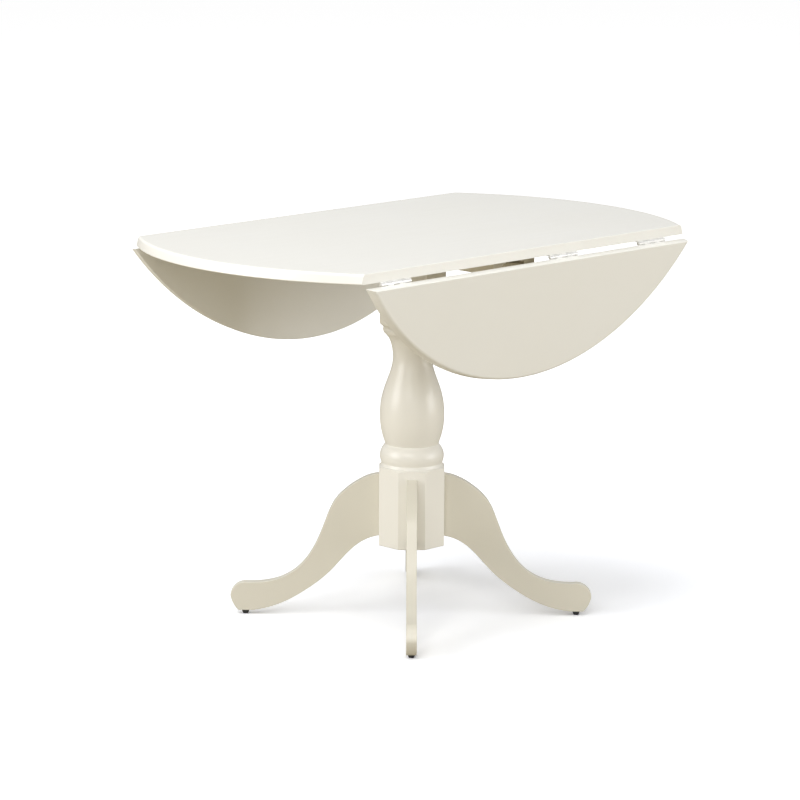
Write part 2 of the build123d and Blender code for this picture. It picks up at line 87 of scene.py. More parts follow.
# The column's profile: pairs are (radius, height)
BLOCK_APOTHEM = column_high[0]
TURNING_BLANK = 0.074        # radius of the blank outside the octagon's corners
FOOT_CHAMFER = 0.0015
FOOT_SHOULDER = (0.2930, 0.0610, 0.3005)     # start height, end radius, end height
BEAD = ((0.0595, 0.3060), (0.0624, 0.3190), (0.0516, 0.3425))
VASE_POINTS = (
    (0.0516, 0.3425),
    (0.0592, 0.3660),
    (0.0627, 0.3950),
    (0.0589, 0.4370),
    (0.0488, 0.4690),
    (0.0396, 0.4980),
    (0.0380, 0.5140),
    (0.0420, 0.5405),
    (0.0472, 0.5525),
    (0.0534, 0.5600),
)
COLLAR = ((0.0550, 0.5610), (0.0574, 0.5675), (0.0560, 0.5730))
HEAD_SHOULDER = (0.0574, 0.5738, 0.5900)     # start radius, start height, end height
POCKET_HALF_WIDTH = 0.032
POCKET_TOP = 0.275
COLUMN_STEPS = 160
BEAD_STEPS = 14
VASE_STEPS = 8
COLLAR_STEPS = 8
COLUMN_SHARP_ANGLE = 20.0

# A leg's outline: pairs are (distance from the column's axis, height)
LEG_THICKNESS = 0.020
LEG_EDGE_ROUND = 0.0010
LEG_EDGE_SEGMENTS = 3
LEG_SHARP_ANGLE = 60.0
LEG_BACK = (
    (0.0635, 0.2830),
    (0.1170, 0.2600),
    (0.1500, 0.2275),
    (0.1685, 0.1865),
    (0.1873, 0.1406),
    (0.2209, 0.0942),
    (0.2620, 0.0709),
    (0.3180, 0.0640),
)
LEG_BACK_START = (1.0, -0.12)             # the back's direction where it leaves the block
LEG_BACK_END = (1.0, 0.0)                 # and where it runs into the toe
LEG_TOE_TOP = ((0.3180, 0.0640), (0.3450, 0.0555), (0.3535, 0.0380))
LEG_TOE_UNDER = ((0.3535, 0.0380), (0.3482, 0.0220), (0.3380, 0.0080))
LEG_BELLY = (
    (0.3090, 0.0080),
    (0.2570, 0.0215),
    (0.2030, 0.0513),
    (0.1580, 0.0877),
    (0.1220, 0.1270),
    (0.0940, 0.1490),
    (0.0635, 0.1595),
)
LEG_CURVE_STEPS = 10
LEG_TOE_TOP_STEPS = 12
LEG_TOE_UNDER_STEPS = 10
LEG_ANGLES = {"leg_front": -45.0, "leg_right": 45.0, "leg_back": 135.0, "leg_left": 225.0}

GLIDE_TOP_RADIUS = (glide_high[0] - glide_low[0]) / 2
GLIDE_HEIGHT = glide_high[2]
GLIDE_FOOT_RADIUS = 0.0054
GLIDE_FOOT_ROUND = 0.0008
GLIDE_SOLE_STEPS = 5
GLIDE_STEPS = 48

# --- Camera and light ---------------------------------------------------------------------------
CAMERA_AZIMUTH = 44.74
CAMERA_ELEVATION = 11.61
CAMERA_ROLL = 0.36
CAMERA_DISTANCE = 7.092
CAMERA_AIM = Vector((0.0, 0.0, 0.400))
CAMERA_LENS = 164.5
CAMERA_SENSOR_WIDTH = 36.0
CAMERA_SHIFT = (-0.0151, 0.0173)
CAMERA_CLIP_END = 100.0
FLOOR_SIZE = 60.0
FLOOR_DROP = 0.0002
FLOOR_NEAR_REACH = 0.6
FLOOR_FAR_REACH = 3.5
HORIZON_STRENGTH = 0.50
ZENITH_STRENGTH = 0.48
ZENITH_START = 0.6           # height in the sky, as a sine, from which it is as bright as the zenith
# Each light: azimuth from the camera's, elevation, distance, side and power
LIGHTS = {
    "overhead": (-60.0, 76.0, 3.8, 3.0, 80.0),
    "front_high": (-10.0, 30.0, 5.0, 2.4, 62.0),
    "left": (-66.0, 18.0, 5.0, 2.8, 110.0),
    "right": (74.0, 8.0, 5.0, 2.8, 100.0),
    "front": (16.0, 3.0, 5.5, 1.4, 6.0),
}

# --- Colours, linear --------------------------------------------------------------------------
PAINT = (0.826, 0.816, 0.766)             # the boards of the top
PAINT_WARM = (0.815, 0.798, 0.736)
# the column's paint: a brighter copy of the top's paint, painted light
PAINT_COLUMN_LIT = (0.872, 0.853, 0.790)
PAINT_COLUMN_LIT_WARM = (0.860, 0.836, 0.762)
# the legs' paint: a darker, warmer copy of the top's paint, painted shade
PAINT_LEG_SHADED = (0.765, 0.736, 0.638)
PAINT_LEG_SHADED_WARM = (0.750, 0.714, 0.608)
PAINT_SHADED_UNDER = (0.740, 0.690, 0.570)        # the battens and slides: darker and warmer than the top's paint, painted shade under the top
PAINT_SHADED_UNDER_WARM = (0.700, 0.640, 0.500)
PAINT_SHEEN = (0.30, 0.39)                # least and greatest roughness
PAINT_COAT = 0.30
PAINT_COAT_ROUGHNESS = 0.22
BRIGHT_STEEL = (0.930, 0.925, 0.900)
ZINC_STEEL = (0.600, 0.600, 0.585)
POWDER_BLACK = (0.020, 0.020, 0.021)
GLIDE_BLACK = (0.012, 0.012, 0.013)
BEECH_LIGHT = (0.520, 0.330, 0.170)
BEECH_DARK = (0.360, 0.205, 0.095)
FLOOR_NEAR = (1.24, 1.26, 1.31)           # the floor's reflectance as the camera sees it
FLOOR_FAR = (2.0, 2.0, 2.0)
FLOOR_BOUNCE = (0.430, 0.382, 0.285)      # and as the table sees it
WHITE = (1.0, 1.0, 1.0)

# --- Texture scales along X, Y and Z --------------------------------------------------------------
EVEN = (1.0, 1.0, 1.0)
GRAIN_ALONG_X = (0.7, 9.0, 9.0)
GRAIN_ALONG_Y = (9.0, 0.7, 9.0)
GRAIN_UP = (9.0, 9.0, 0.7)
GRAIN_IN_LEG = (1.0, 9.0, 1.6)            # runs out and down, in the leg's own plane
BEECH_GRAIN = (8.0, 8.0, 1.0)
ROLLED_FLAT = (6.0, 1.0, 6.0)
ROLLED_ROUND = (1.0, 1.0, 6.0)
NOISE_LOW = 0.3                           # the span that holds most of a noise texture
NOISE_HIGH = 0.7
HINGE_METALLIC = 0.45                     # plating that shows as pale grey, as in the photo


# --- Curves -----------------------------------------------------------------------------------
def parabola_slope(first, second, third, step_a, step_b):
    """Slope at first of the parabola through three points that are step_a and step_b apart."""
    whole = step_a + step_b
    return (
        -first * (2 * step_a + step_b) / (step_a * whole)
        + second * whole / (step_a * step_b)
        - third * step_a / (step_b * whole)
    )


def smooth_curve(points, steps, start=None, end=None):
    """Cubic spline through points, steps to a span. start and end are end directions, if fixed."""
    knots = np.array(points, dtype=float)
    spans = np.linalg.norm(np.diff(knots, axis=0), axis=1)
    count = len(knots)
    slope_start = parabola_slope(knots[0], knots[1], knots[2], spans[0], spans[1])
    slope_end = -parabola_slope(knots[-1], knots[-2], knots[-3], spans[-1], spans[-2])
    if start is not None:
        slope_start = np.array(start) / np.linalg.norm(start) * np.linalg.norm(slope_start)
    if end is not None:
        slope_end = np.array(end) / np.linalg.norm(end) * np.linalg.norm(slope_end)
    matrix = np.zeros((count, count))
    given = np.zeros((count, 2))
    matrix[0, 0] = matrix[-1, -1] = 1.0
    given[0], given[-1] = slope_start, slope_end
    for k in range(1, count - 1):
        before, after = spans[k - 1], spans[k]
        matrix[k, k - 1], matrix[k, k], matrix[k, k + 1] = after, 2 * (before + after), before
        rise_before = (knots[k] - knots[k - 1]) / before
        rise_after = (knots[k + 1] - knots[k]) / after
        given[k] = 3 * (after * rise_before + before * rise_after)
    slopes = np.linalg.solve(matrix, given)
    curve = [tuple(knots[0])]
    for k in range(count - 1):
        for step in range(1, steps + 1):
            t = step / steps
            near_part, far_part = 2 * t**3 - 3 * t**2 + 1, -2 * t**3 + 3 * t**2
            near_slope, far_slope = t**3 - 2 * t**2 + t, t**3 - t**2
            place = near_part * knots[k] + far_part * knots[k + 1]
            place = place + spans[k] * (near_slope * slopes[k] + far_slope * slopes[k + 1])
            curve.append((float(place[0]), float(place[1])))
    return curve


def arc_through(start, middle, end, steps):
    """Points on the arc through three points, both ends included."""
    (ax, ay), (bx, by), (cx, cy) = start, middle, end
    twice = 2 * (ax * (by - cy) + bx * (cy - ay) + cx * (ay - by))
    a_far, b_far, c_far = (x * x + y * y for x, y in (start, middle, end))
    centre_x = (a_far * (by - cy) + b_far * (cy - ay) + c_far * (ay - by)) / twice
    centre_y = (a_far * (cx - bx) + b_far * (ax - cx) + c_far * (bx - ax)) / twice
    radius = sqrt((ax - centre_x) ** 2 + (ay - centre_y) ** 2)
    first, halfway, last = (np.arctan2(y - centre_y, x - centre_x) for x, y in (start, middle, end))
    turn = (last - first) % (2 * pi)
    if (halfway - first) % (2 * pi) > turn:
        turn -= 2 * pi
    angles = [first + turn * step / steps for step in range(steps + 1)]
    return [(centre_x + radius * cos(angle), centre_y + radius * sin(angle)) for angle in angles]


def arc_about(centre, radius, start, end, steps):
    """Points on an arc about a centre, from angle start to angle end in degrees."""
    angles = [radians(start + (end - start) * step / steps) for step in range(steps + 1)]
    return [(centre[0] + radius * cos(angle), centre[1] + radius * sin(angle)) for angle in angles]


# --- Mesh helpers -----------------------------------------------------------------------------
def mesh_object(name, builder):
    """Links an object made from a finished bmesh, with its faces turned outward and smooth."""
    bmesh.ops.recalc_face_normals(builder, faces=builder.faces)
    mesh = bpy.data.meshes.new(name)
    builder.to_mesh(mesh)
    builder.free()
    mesh.shade_smooth()
    piece = bpy.data.objects.new(name, mesh)
    bpy.context.collection.objects.link(piece)
    return piece


def soften_edges(piece, width, segments, angle):
    """Rounds edges sharper than angle and keeps the flats beside them flat."""
    round_off = piece.modifiers.new("rounded_edges", "BEVEL")
    round_off.limit_method = "ANGLE"
    round_off.angle_limit = radians(angle)
    round_off.width = width
    round_off.segments = segments
    round_off.use_clamp_overlap = True
    normals = piece.modifiers.new("even_normals", "WEIGHTED_NORMAL")
    normals.keep_sharp = True


def lathe(builder, outline, steps):
    """Turns an outline of (radius, height) pairs about Z and closes both ends with a flat face."""
    angles = [2 * pi * step / steps for step in range(steps)]
    rings = []
    for radius, height in outline:
        rings.append([builder.verts.new((radius * cos(a), radius * sin(a), height)) for a in angles])
    for low, high in zip(rings, rings[1:]):
        for step in range(steps):
            after = (step + 1) % steps
            builder.faces.new((low[step], low[after], high[after], high[step]))
    builder.faces.new(rings[0])
    builder.faces.new(rings[-1])


def wall(builder, first, second):
    """Faces between two loops of as many vertices each."""
    for k in range(len(first)):
        after = (k + 1) % len(first)
        builder.faces.new((first[k], first[after], second[after], second[k]))


def keep_side(builder, place, normal):
    """Cuts a closed mesh with a plane, keeps the part behind it and closes the cut."""
    everything = builder.verts[:] + builder.edges[:] + builder.faces[:]
    plane = {"plane_co": place, "plane_no": normal}
    cut = bmesh.ops.bisect_plane(builder, geom=everything, clear_outer=True, **plane)
    edges = [item for item in cut["geom_cut"] if isinstance(item, bmesh.types.BMEdge)]
    bmesh.ops.edgeloop_fill(builder, edges=edges)


def keep_rounded_side(builder, x, outward):
    """Cuts straight down at x and rounds the cut's upper edge. outward is +1 or -1 along X."""
    keep_side(builder, (x, 0, 0), (outward, 0, 0))
    radius = STRAIGHT_EDGE_ROUND
    for step in range(1, STRAIGHT_EDGE_STEPS):
        angle = pi / 2 * step / STRAIGHT_EDGE_STEPS
        normal = (outward * cos(angle), 0, sin(angle))
        place = (x - outward * radius * (1 - cos(angle)), 0, TOP_HEIGHT - radius * (1 - sin(angle)))
        keep_side(builder, place, normal)


def round_top():
    """The whole round top as one disc, whose rim has a rounded crest and leans out below it."""
    crest_middle = (TOP_RADIUS - RIM_INSET, TOP_HEIGHT - RIM_CREST_RADIUS)
    under_middle = (TOP_RADIUS - RIM_UNDER_ROUND, UNDERSIDE + RIM_UNDER_ROUND)
    crest = arc_about(crest_middle, RIM_CREST_RADIUS, 90, RIM_CREST_END, RIM_CREST_STEPS)
    under = arc_about(under_middle, RIM_UNDER_ROUND, 0, -90, RIM_UNDER_STEPS)
    builder = bmesh.new()
    lathe(builder, crest + under, RIM_STEPS)
    return builder


# --- Top --------------------------------------------------------------------------------------
def make_stop_slot(side):
    """Round-ended block that is taken out of the panel's underside for a slide's stop dowel."""
    builder = bmesh.new()
    near, far = STOP_SLOT_SPAN
    half = STOP_SLOT_HALF_WIDTH
    far_end = arc_about((far - half, 0.0), half, -90, 90, STOP_SLOT_END_STEPS)
    near_end = arc_about((near + half, 0.0), half, 90, 270, STOP_SLOT_END_STEPS)
    outline = far_end + near_end
    floor_z, roof_z = UNDERSIDE - STOP_SLOT_DEPTH, UNDERSIDE + STOP_SLOT_DEPTH
    low = [builder.verts.new((side * x, y, floor_z)) for x, y in outline]
    high = [builder.verts.new((side * x, y, roof_z)) for x, y in outline]
    builder.faces.new(low)
    builder.faces.new(high)
    wall(builder, low, high)
    return mesh_object("stop_slot_cutter", builder)


def make_panel():
    """Centre panel: the disc between the two hinge lines, with its stop slots underneath."""
    builder = round_top()
    for side in (1, -1):
        keep_rounded_side(builder, side * PANEL_HALF_WIDTH, side)
    panel = mesh_object("center_panel_top", builder)
    cutters = [make_stop_slot(1), make_stop_slot(-1)]
    for cutter in cutters:
        slot = panel.modifiers.new("slot", "BOOLEAN")
        slot.operation = "DIFFERENCE"
        slot.solver = "EXACT"
        slot.object = cutter
    bpy.context.view_layer.update()
    finished = panel.evaluated_get(bpy.context.evaluated_depsgraph_get())
    whole = bpy.data.meshes.new_from_object(finished)
    panel.modifiers.clear()
    panel.data = whole
    for cutter in cutters:
        bpy.data.objects.remove(cutter)
    return panel


def make_leaf(side):
    """A leaf, cut from the raised top and turned down about its hinge line to hang free."""
    builder = round_top()
    keep_rounded_side(builder, PIN_X + LEAF_EDGE_GAP, -1)
    hinge = Matrix.Translation((PIN_X, 0, PIN_Z))
    down = hinge @ Matrix.Rotation(radians(LEAF_TURN), 4, "Y") @ hinge.inverted()
    around = Matrix.Rotation(0.0 if side > 0 else pi, 4, "Z")
    bmesh.ops.transform(builder, matrix=around @ down, verts=builder.verts)
    return mesh_object("leaf_right_board" if side > 0 else "leaf_left_board", builder)


# --- Column -----------------------------------------------------------------------------------
def octagon_reach(angle):
    """Distance from the axis to the octagon's edge at an angle in radians."""
    off_flat = (angle + pi / 8) % (pi / 4) - pi / 8
    return BLOCK_APOTHEM / cos(off_flat)


def pocket_reach(angle):
    """Distance from the axis to the square pocket's wall, whose flats face the legs."""
    off_flat = angle % (pi / 2) - pi / 4
    return POCKET_HALF_WIDTH / cos(off_flat)


def column_line(angle, turned):
    """The column's outline at one angle, from the roof of the pocket round to the top's middle.

    The turned shoulders meet the octagon's flats at a height that changes with the angle, which
    leaves a scalloped edge on each block.
    """
    reach = octagon_reach(angle)
    inner = pocket_reach(angle)
    start, end_radius, end = FOOT_SHOULDER
    foot_rise = (end - start) / (TURNING_BLANK - end_radius)
    foot_meet = start + foot_rise * (TURNING_BLANK - reach)
    head_radius, head_start, head_end = HEAD_SHOULDER
    head_rise = (head_end - head_start) / (TURNING_BLANK - head_radius)
    head_meet = head_start + head_rise * (reach - head_radius)
    bottom, top = column_low[2], column_high[2]
    line = [(0.0, POCKET_TOP), (inner, POCKET_TOP), (inner, bottom), (reach - FOOT_CHAMFER, bottom)]
    line += [(reach, bottom + FOOT_CHAMFER), (reach, foot_meet), (end_radius, end)]
    line += turned
    line += [(head_radius, head_start), (reach, head_meet), (reach, top), (0.0, top)]
    return line


def make_column():
    """Pedestal column: a turned vase between two octagonal blocks, hollow at its foot."""
    vase = smooth_curve(VASE_POINTS, VASE_STEPS)
    turned = arc_through(*BEAD, BEAD_STEPS) + vase[1:] + arc_through(*COLLAR, COLLAR_STEPS)
    builder = bmesh.new()
    lines = []
    for step in range(COLUMN_STEPS):
        angle = 2 * pi * step / COLUMN_STEPS
        points = column_line(angle, turned)
        lines.append([(radius * cos(angle), radius * sin(angle), height) for radius, height in points])
    roof = builder.verts.new(lines[0][0])
    crown = builder.verts.new(lines[0][-1])
    rows = [[roof] + [builder.verts.new(point) for point in line[1:-1]] + [crown] for line in lines]
    for step, row in enumerate(rows):
        beside = rows[(step + 1) % COLUMN_STEPS]
        for k in range(len(row) - 1):
            corners = (row[k], beside[k], beside[k + 1], row[k + 1])
            builder.faces.new(list(dict.fromkeys(corners)))
    return mesh_object("column_turned", builder)


# --- Legs and glides --------------------------------------------------------------------------
def leg_outline():
    """Outline of a leg as (distance from the axis, height) pairs."""
    back = smooth_curve(LEG_BACK, LEG_CURVE_STEPS, start=LEG_BACK_START, end=LEG_BACK_END)
    toe_top = arc_through(*LEG_TOE_TOP, LEG_TOE_TOP_STEPS)
    toe_under = arc_through(*LEG_TOE_UNDER, LEG_TOE_UNDER_STEPS)
    belly = smooth_curve(LEG_BELLY, LEG_CURVE_STEPS)
    return back + toe_top[1:] + toe_under[1:] + belly


def make_leg(name, angle):
    """Flat S-shaped leg, still with sharp edges, that points out from the column at an angle."""
    builder = bmesh.new()
    out = Vector((cos(radians(angle)), sin(radians(angle)), 0.0))
    across = Vector((-out.y, out.x, 0.0)) * (LEG_THICKNESS / 2)
    outline = leg_outline()
    near = [builder.verts.new(out * x + across + Vector((0.0, 0.0, z))) for x, z in outline]
    far = [builder.verts.new(out * x - across + Vector((0.0, 0.0, z))) for x, z in outline]
    builder.faces.new(near)
    builder.faces.new(far)
    wall(builder, near, far)
    return mesh_object(f"{name}_board", builder)


def make_glide(name):
    """Tapered glide with a rounded sole, in its CAD node's place."""
    slope = degrees(np.arctan2(GLIDE_HEIGHT, GLIDE_TOP_RADIUS - GLIDE_FOOT_RADIUS))
    sole_middle = (GLIDE_FOOT_RADIUS - GLIDE_FOOT_ROUND, GLIDE_FOOT_ROUND)
    sole = arc_about(sole_middle, GLIDE_FOOT_ROUND, -90, slope - 90, GLIDE_SOLE_STEPS)
    builder = bmesh.new()
    lathe(builder, sole + [(GLIDE_TOP_RADIUS, GLIDE_HEIGHT)], GLIDE_STEPS)
    low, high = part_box(name)
    middle = Vector(((low[0] + high[0]) / 2, (low[1] + high[1]) / 2, 0.0))
    bmesh.ops.translate(builder, vec=middle, verts=builder.verts)
    return mesh_object(f"{name}_pad", builder)


# --- Material node helpers ----------------------------------------------------------------------
def new_material(name):
    """Empty node material: returns it with its tree and its Principled shader."""
    material = bpy.data.materials.new(name)
    material.use_nodes = True
    tree = material.node_tree
    tree.nodes.clear()
    shader = tree.nodes.new("ShaderNodeBsdfPrincipled")
    output = tree.nodes.new("ShaderNodeOutputMaterial")
    tree.links.new(shader.outputs["BSDF"], output.inputs["Surface"])
    return material, tree, shader


def place_nodes(tree, scale, turn=0.0):
    """Object coordinates, turned about Z and then stretched by scale along each axis."""
    coordinates = tree.nodes.new("ShaderNodeTexCoord")
    turned = tree.nodes.new("ShaderNodeMapping")
    turned.inputs["Rotation"].default_value = (0.0, 0.0, radians(-turn))
    stretched = tree.nodes.new("ShaderNodeMapping")
    stretched.inputs["Scale"].default_value = scale
    tree.links.new(coordinates.outputs["Object"], turned.inputs["Vector"])
    tree.links.new(turned.outputs["Vector"], stretched.inputs["Vector"])
    return stretched.outputs["Vector"]


def noise(tree, vector, scale, detail=3.0, roughness=0.5):
    """Noise texture's factor."""
    node = tree.nodes.new("ShaderNodeTexNoise")
    node.inputs["Scale"].default_value = scale
    node.inputs["Detail"].default_value = detail
    node.inputs["Roughness"].default_value = roughness
    tree.links.new(vector, node.inputs["Vector"])
    return node.outputs["Fac"]


def spread(tree, value, low, high):
    """Maps a noise factor's usual span to low to high."""
    node = tree.nodes.new("ShaderNodeMapRange")
    node.inputs["From Min"].default_value = NOISE_LOW
    node.inputs["From Max"].default_value = NOISE_HIGH
    node.inputs["To Min"].default_value = low
    node.inputs["To Max"].default_value = high
    tree.links.new(value, node.inputs["Value"])
    return node.outputs["Result"]


def blend_colours(tree, factor, first, second):
    """Mixes two fixed colours by a varying factor."""
    node = tree.nodes.new("ShaderNodeMix")
    node.data_type = "RGBA"
    node.inputs["A"].default_value = (*first, 1.0)
    node.inputs["B"].default_value = (*second, 1.0)
    tree.links.new(factor, node.inputs["Factor"])
    return node.outputs["Result"]


def bump(tree, height, strength, distance, normal=None):
    """Bump of a height, on top of another bump if one is given."""
    node = tree.nodes.new("ShaderNodeBump")
    node.inputs["Strength"].default_value = strength
    node.inputs["Distance"].default_value = distance
    tree.links.new(height, node.inputs["Height"])
    if normal is not None:
        tree.links.new(normal, node.inputs["Normal"])
    return node.outputs["Normal"]


# --- Materials --------------------------------------------------------------------------------
def painted_wood(name, grain, turn=0.0, paint=PAINT, warm=PAINT_WARM):
    """Satin off-white paint over hardwood. grain is the texture's scale along each axis."""
    material, tree, shader = new_material(name)
    even = place_nodes(tree, EVEN)
    along = place_nodes(tree, grain, turn)
    tone = spread(tree, noise(tree, even, scale=5.0, detail=4.0), 0.0, 0.55)
    tree.links.new(blend_colours(tree, tone, paint, warm), shader.inputs["Base Color"])
    sheen = noise(tree, along, scale=9.0, detail=4.0, roughness=0.6)
    tree.links.new(spread(tree, sheen, *PAINT_SHEEN), shader.inputs["Roughness"])
    fibre = noise(tree, along, scale=160.0, detail=4.0, roughness=0.65)
    fibre_bump = bump(tree, fibre, strength=0.30, distance=0.00012)
    spray = noise(tree, even, scale=900.0, detail=2.0)
    spray_bump = bump(tree, spray, strength=0.22, distance=0.00006, normal=fibre_bump)
    tree.links.new(spray_bump, shader.inputs["Normal"])
    shader.inputs["Coat Weight"].default_value = PAINT_COAT
    shader.inputs["Coat Roughness"].default_value = PAINT_COAT_ROUGHNESS
    return material


def bare_metal(name, colour, roughness, streak, metallic=1.0):
    """Plated steel with fine rolling marks. streak is the marks' scale along each axis."""
    material, tree, shader = new_material(name)
    even = place_nodes(tree, EVEN)
    lined = place_nodes(tree, streak)
    darker = tuple(0.82 * channel for channel in colour)
    stain = spread(tree, noise(tree, even, scale=60.0, detail=4.0), 0.0, 1.0)
    tree.links.new(blend_colours(tree, stain, colour, darker), shader.inputs["Base Color"])
    marks = noise(tree, lined, scale=400.0, detail=3.0)
    marked_roughness = spread(tree, marks, roughness - 0.07, roughness + 0.09)
    tree.links.new(marked_roughness, shader.inputs["Roughness"])
    tree.links.new(bump(tree, marks, strength=0.25, distance=0.00003), shader.inputs["Normal"])
    shader.inputs["Metallic"].default_value = metallic
    return material


def powder_coat(name, colour):
    """Black powder coat with a fine pebbled skin."""
    material, tree, shader = new_material(name)
    even = place_nodes(tree, EVEN)
    lighter = tuple(1.8 * channel for channel in colour)
    tone = spread(tree, noise(tree, even, scale=700.0, detail=2.0), 0.0, 1.0)
    tree.links.new(blend_colours(tree, tone, colour, lighter), shader.inputs["Base Color"])
    tree.links.new(spread(tree, tone, 0.42, 0.55), shader.inputs["Roughness"])
    pebbles = noise(tree, even, scale=1500.0, detail=2.0)
    tree.links.new(bump(tree, pebbles, strength=0.35, distance=0.0001), shader.inputs["Normal"])
    return material


def moulded_plastic(name, colour):
    """Matt black moulded plastic, lightly scuffed."""
    material, tree, shader = new_material(name)
    even = place_nodes(tree, EVEN)
    lighter = tuple(2.5 * channel for channel in colour)
    scuff = spread(tree, noise(tree, even, scale=350.0, detail=5.0, roughness=0.7), 0.0, 1.0)
    tree.links.new(blend_colours(tree, scuff, colour, lighter), shader.inputs["Base Color"])
    tree.links.new(spread(tree, scuff, 0.38, 0.60), shader.inputs["Roughness"])
    skin = noise(tree, even, scale=2500.0, detail=2.0)
    tree.links.new(bump(tree, skin, strength=0.20, distance=0.00005), shader.inputs["Normal"])
    return material


def beech(name):
    """Plain beech with its grain along Z."""
    material, tree, shader = new_material(name)
    along = place_nodes(tree, BEECH_GRAIN)
    tone = spread(tree, noise(tree, along, scale=90.0, detail=5.0, roughness=0.65), 0.0, 1.0)
    tree.links.new(blend_colours(tree, tone, BEECH_LIGHT, BEECH_DARK), shader.inputs["Base Color"])
    tree.links.new(spread(tree, tone, 0.50, 0.65), shader.inputs["Roughness"])
    tree.links.new(bump(tree, tone, strength=0.20, distance=0.0001), shader.inputs["Normal"])
    return material


# --- Pieces on their bodies -----------------------------------------------------------------------
def stand_for(piece, node, body, material):
    """Puts a Blender piece in a CAD node's place, on its body, with its own material."""
    piece.data.materials.clear()
    piece.data.materials.append(material)
    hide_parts(node)
    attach(piece, body)


def dress(nodes, material):
    """Gives CAD nodes a material in every slot."""
    for node in nodes:
        for material_slot in frame["nodes"][node].material_slots:
            material_slot.material = material


def nodes_with(*words):
    """CAD nodes whose name holds all the words."""
    return [name for name in sorted(frame["nodes"]) if all(word in name for word in words)]


top_paint = painted_wood("paint_top", GRAIN_ALONG_Y)
panel = make_panel()
soften_edges(panel, SOFT_EDGE, SOFT_EDGE_SEGMENTS, BOARD_SHARP_ANGLE)
stand_for(panel, "center_panel", "table_frame", top_paint)
for side, leaf_name in ((1, "leaf_right"), (-1, "leaf_left")):
    leaf = make_leaf(side)
    soften_edges(leaf, SOFT_EDGE, SOFT_EDGE_SEGMENTS, BOARD_SHARP_ANGLE)
    stand_for(leaf, leaf_name, leaf_name, top_paint)

column = make_column()
soften_edges(column, SOFT_EDGE, SOFT_EDGE_SEGMENTS, COLUMN_SHARP_ANGLE)
# the column gets a brighter copy of the top's paint: painted light
lit_column_paint = painted_wood("paint_column_lit", GRAIN_UP, 0.0, PAINT_COLUMN_LIT, PAINT_COLUMN_LIT_WARM)
stand_for(column, "pedestal_column", "table_frame", lit_column_paint)

glide_plastic = moulded_plastic("glide_black", GLIDE_BLACK)
for leg_name, turn in LEG_ANGLES.items():
    leg = make_leg(leg_name, turn)
    soften_edges(leg, LEG_EDGE_ROUND, LEG_EDGE_SEGMENTS, LEG_SHARP_ANGLE)
    # the legs get a darker, warmer copy of the top's paint: painted shade
    shaded_leg_paint = painted_wood(f"paint_{leg_name}", GRAIN_IN_LEG, turn, PAINT_LEG_SHADED, PAINT_LEG_SHADED_WARM)
    stand_for(leg, leg_name, "table_frame", shaded_leg_paint)
    glide_name = leg_name.replace("leg", "glide")
    stand_for(make_glide(glide_name), glide_name, "table_frame", glide_plastic)

# battens and slides get a darker, warmer paint: painted shade under the top
shaded_batten_paint = painted_wood("paint_batten_shaded", GRAIN_ALONG_X, 0.0, PAINT_SHADED_UNDER, PAINT_SHADED_UNDER_WARM)
dress(["front_batten", "back_batten"], shaded_batten_paint)
shaded_slide_paint = painted_wood("paint_slide_shaded", GRAIN_ALONG_X, 0.0, PAINT_SHADED_UNDER, PAINT_SHADED_UNDER_WARM)
dress(["right_slide", "left_slide"], shaded_slide_paint)
dress(nodes_with("stop"), beech("dowel_beech"))
hinge_steel = bare_metal("hinge_steel", BRIGHT_STEEL, 0.30, ROLLED_FLAT, HINGE_METALLIC)
dress(nodes_with("hinge", "_plate") + nodes_with("_pin"), hinge_steel)
zinc_steel = bare_metal("zinc_steel", ZINC_STEEL, 0.33, ROLLED_ROUND)
dress(nodes_with("screws") + ["leg_bolts", "leg_washers", "leg_nuts", "glide_nails"], zinc_steel)
dress(["mount_plate"], powder_coat("plate_black", POWDER_BLACK))


# --- Floor, light and camera --------------------------------------------------------------------
def make_floor():
    """Plain white floor, seen from above only, that throws a softer and warmer light back up."""
    bpy.ops.mesh.primitive_plane_add(size=FLOOR_SIZE, location=(0.0, 0.0, -FLOOR_DROP))
    floor = bpy.context.object
    floor.name = "floor"
    material = bpy.data.materials.new("floor_white")
    material.use_nodes = True
    tree = material.node_tree
    tree.nodes.clear()
    seen = tree.nodes.new("ShaderNodeBsdfDiffuse")
    coordinates = tree.nodes.new("ShaderNodeTexCoord")
    reach = tree.nodes.new("ShaderNodeVectorMath")
    reach.operation = "LENGTH"
    whiter = tree.nodes.new("ShaderNodeMapRange")
    whiter.inputs["From Min"].default_value = FLOOR_NEAR_REACH
    whiter.inputs["From Max"].default_value = FLOOR_FAR_REACH
    tree.links.new(coordinates.outputs["Object"], reach.inputs[0])
    tree.links.new(reach.outputs["Value"], whiter.inputs["Value"])
    floor_colour = blend_colours(tree, whiter.outputs["Result"], FLOOR_NEAR, FLOOR_FAR)
    tree.links.new(floor_colour, seen.inputs["Color"])
    bounce = tree.nodes.new("ShaderNodeBsdfDiffuse")
    bounce.inputs["Color"].default_value = (*FLOOR_BOUNCE, 1.0)
    clear = tree.nodes.new("ShaderNodeBsdfTransparent")
    path = tree.nodes.new("ShaderNodeLightPath")
    facing = tree.nodes.new("ShaderNodeNewGeometry")
    from_above = tree.nodes.new("ShaderNodeMixShader")
    either = tree.nodes.new("ShaderNodeMixShader")
    output = tree.nodes.new("ShaderNodeOutputMaterial")
    tree.links.new(path.outputs["Is Camera Ray"], from_above.inputs["Fac"])
    tree.links.new(bounce.outputs["BSDF"], from_above.inputs[1])
    tree.links.new(seen.outputs["BSDF"], from_above.inputs[2])
    tree.links.new(facing.outputs["Backfacing"], either.inputs["Fac"])
    tree.links.new(from_above.outputs["Shader"], either.inputs[1])
    tree.links.new(clear.outputs["BSDF"], either.inputs[2])
    tree.links.new(either.outputs["Shader"], output.inputs["Surface"])
    floor.data.materials.append(material)


